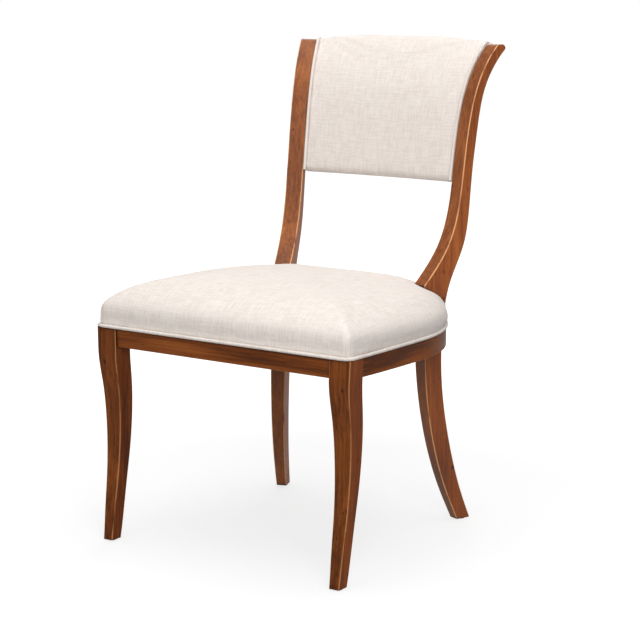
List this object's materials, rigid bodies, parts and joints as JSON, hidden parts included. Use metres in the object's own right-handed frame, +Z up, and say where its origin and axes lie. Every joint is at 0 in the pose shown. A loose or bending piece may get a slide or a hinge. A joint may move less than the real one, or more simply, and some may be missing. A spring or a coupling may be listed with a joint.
{
  "type": "dining chair",
  "caption": "Klismos dining chair in stained hardwood: sabre legs, swept canted rear posts, bowed seat frame, crowned linen seat and a padded concave roll-over back.",
  "frame": {"origin": "on the floor, under the middle of the chair's bounding box", "axes": "+Z up; -Y is the way a sitter faces; +X is the right-hand side seen from the front; the chair is symmetric about the plane X = 0"},
  "size_m": [0.5944, 0.658, 0.94],
  "materials": {
    "show_wood": "stained hardwood, satin lacquer",
    "frame_wood": "plain sawn hardwood",
    "plywood": "plywood",
    "linen": "oatmeal linen weave",
    "webbing": "jute webbing",
    "black_cloth": "black non-woven dust cloth",
    "foam": "polyurethane foam",
    "screw_steel": "zinc plated",
    "glide_plastic": "matt dark nylon"
  },
  "bodies": {
    "root": {"front_leg_right": "show_wood", "front_leg_left": "show_wood", "rear_post_right": "show_wood", "rear_post_left": "show_wood", "side_rail_right": "show_wood", "side_rail_left": "show_wood", "front_rail": "show_wood", "back_rail": "show_wood", "front_corner_block_right": "frame_wood", "front_corner_block_left": "frame_wood", "rear_corner_block_right": "frame_wood", "rear_corner_block_left": "frame_wood", "crest_rail": "frame_wood", "lower_back_rail": "frame_wood", "frame_dowels": "frame_wood", "back_dowels": "frame_wood", "seat_board": "plywood", "back_board": "plywood", "seat_cover": "linen", "seat_welt": "linen", "back_front_cover": "linen", "back_rear_cover": "linen", "back_welt_right": "linen", "back_welt_left": "linen", "webbing_front_to_back": "webbing", "webbing_side_to_side": "webbing", "dust_cover": "black_cloth", "seat_foam": "foam", "back_front_padding": "foam", "back_rear_padding": "foam", "corner_block_screws": "screw_steel", "seat_screws": "screw_steel", "post_screws": "screw_steel", "foot_glides": "glide_plastic"}
  },
  "joints": []
}
